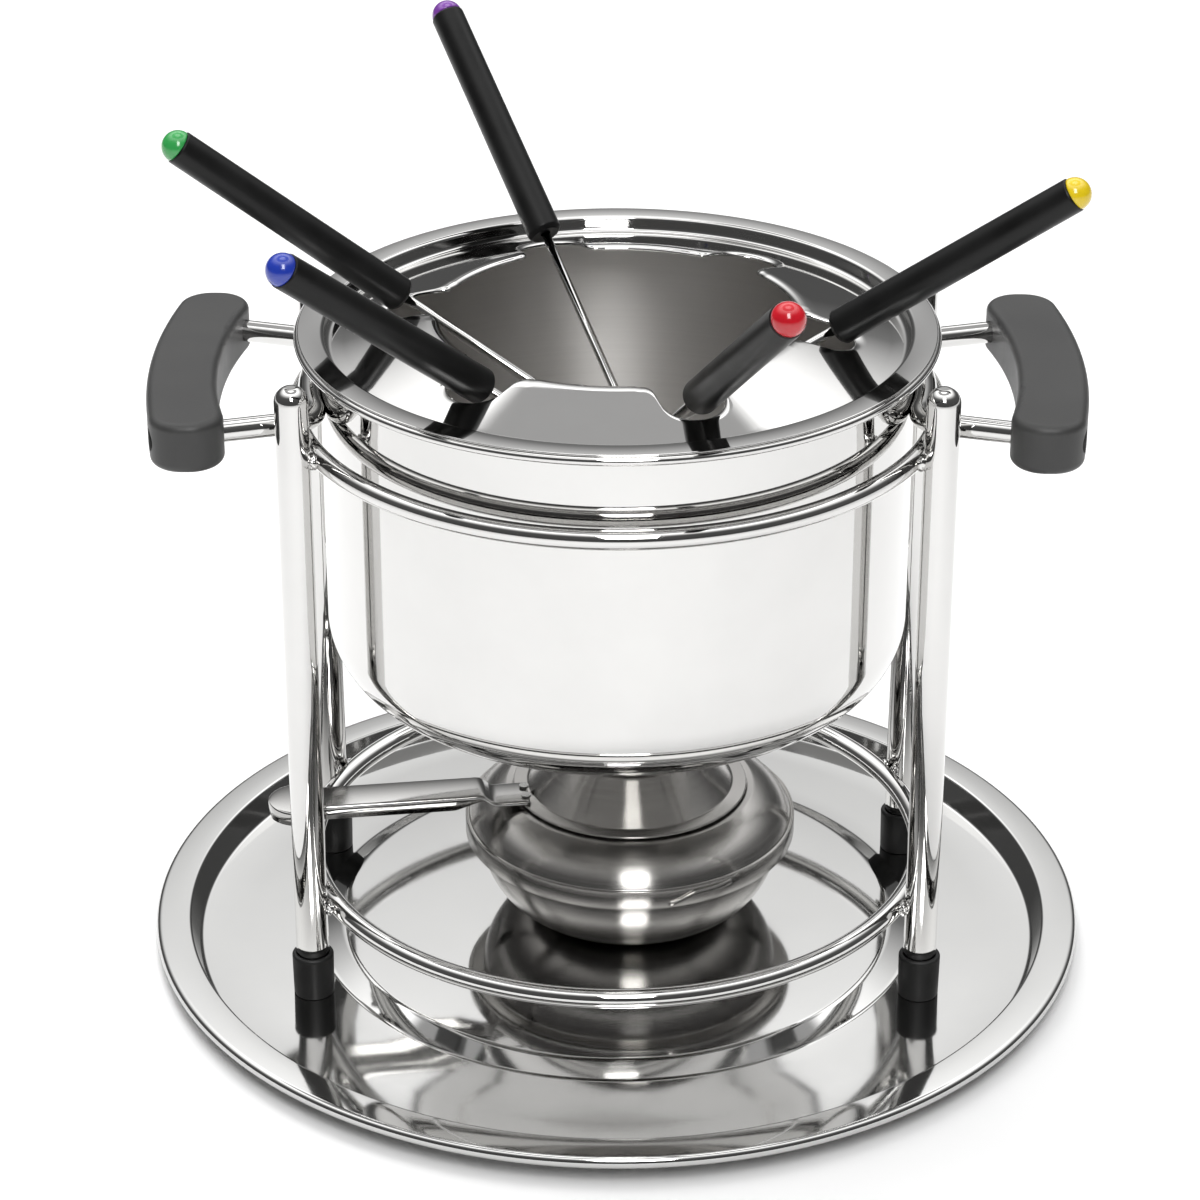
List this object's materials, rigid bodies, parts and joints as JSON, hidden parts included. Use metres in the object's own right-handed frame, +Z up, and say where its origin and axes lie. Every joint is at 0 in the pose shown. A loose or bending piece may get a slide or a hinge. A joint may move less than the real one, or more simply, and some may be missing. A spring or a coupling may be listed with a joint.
{
  "type": "fondue set",
  "caption": "Steel fondue pot on a ring stand over a spirit burner, with dipping tray, fork guide and colour-capped forks.",
  "frame": {"origin": "on the table under the tray's centre, where the common axis of pot, rings and tray meets it", "axes": "+Z up along the pot's axis, -Y towards the front, +X to the right between the right pair of legs"},
  "size_m": [0.2886, 0.2886, 0.2636],
  "materials": {
    "polished_steel": "polished",
    "satin_steel": "brushed",
    "screw_steel": "satin",
    "grip_resin": "matte",
    "black_rubber": "satin",
    "handle_black": "satin",
    "pad_fibre": "matte",
    "purple_cap": "gloss",
    "green_cap": "gloss",
    "blue_cap": "gloss",
    "red_cap": "gloss",
    "yellow_cap": "gloss"
  },
  "bodies": {
    "tray": {"tray": "polished_steel"},
    "stand": {"upper_ring": "polished_steel", "lower_ring": "polished_steel", "leg_front_left": "polished_steel", "leg_front_right": "polished_steel", "leg_rear_left": "polished_steel", "leg_rear_right": "polished_steel", "foot_front_left": "black_rubber", "foot_front_right": "black_rubber", "foot_rear_left": "black_rubber", "foot_rear_right": "black_rubber"},
    "pot": {"pot_body": "polished_steel", "bracket_left": "polished_steel", "grip_left": "grip_resin", "grip_screws_left": "screw_steel", "bracket_right": "polished_steel", "grip_right": "grip_resin", "grip_screws_right": "screw_steel"},
    "guide": {"fork_guide": "polished_steel"},
    "fork_purple_body": {"fork_purple": "polished_steel", "handle_purple": "handle_black", "cap_purple": "purple_cap"},
    "fork_green_body": {"fork_green": "polished_steel", "handle_green": "handle_black", "cap_green": "green_cap"},
    "fork_blue_body": {"fork_blue": "polished_steel", "handle_blue": "handle_black", "cap_blue": "blue_cap"},
    "fork_red_body": {"fork_red": "polished_steel", "handle_red": "handle_black", "cap_red": "red_cap"},
    "fork_yellow_body": {"fork_yellow": "polished_steel", "handle_yellow": "handle_black", "cap_yellow": "yellow_cap"},
    "burner": {"burner_bowl": "satin_steel", "fuel_pad": "pad_fibre"},
    "cover": {"burner_cover": "satin_steel", "burner_gauze": "screw_steel"},
    "snuffer": {"snuffer_cap": "satin_steel", "snuffer_arm": "satin_steel", "snuffer_rivets": "screw_steel"}
  },
  "joints": [
    {"name": "stand_lift", "type": "slide", "parent": "tray", "child": "stand", "axis": [0, 0, 1], "range_m": [0, 0.008]},
    {"name": "pot_lift", "type": "slide", "parent": "stand", "child": "pot", "axis": [0, 0, 1], "range_m": [0, 0.15]},
    {"name": "guide_lift", "type": "slide", "parent": "pot", "child": "guide", "axis": [0, 0, 1], "range_m": [0, 0.15]},
    {"name": "fork_purple_draw", "type": "slide", "parent": "guide", "child": "fork_purple_body", "axis": [-0.384, 0.6731, 0.632], "range_m": [0, 0.15]},
    {"name": "fork_green_draw", "type": "slide", "parent": "guide", "child": "fork_green_body", "axis": [-0.7595, -0.1698, 0.628], "range_m": [0, 0.15]},
    {"name": "fork_blue_draw", "type": "slide", "parent": "guide", "child": "fork_blue_body", "axis": [-0.6268, -0.474, 0.6184], "range_m": [0, 0.15]},
    {"name": "fork_red_draw", "type": "slide", "parent": "guide", "child": "fork_red_body", "axis": [0.2567, -0.7585, 0.599], "range_m": [0, 0.15]},
    {"name": "fork_yellow_draw", "type": "slide", "parent": "guide", "child": "fork_yellow_body", "axis": [0.7813, -0.2138, 0.5864], "range_m": [0, 0.15]},
    {"name": "burner_turn", "type": "hinge", "parent": "tray", "child": "burner", "pos_m": [0.0042, 0.007, 0.004], "axis": [0, 0, 1], "range_deg": [-19, 7]},
    {"name": "cover_lift", "type": "slide", "parent": "burner", "child": "cover", "axis": [0, 0, 1], "range_m": [0, 0.012]},
    {"name": "snuffer_lift", "type": "slide", "parent": "cover", "child": "snuffer", "axis": [0, 0, 1], "range_m": [0, 0.018]}
  ]
}
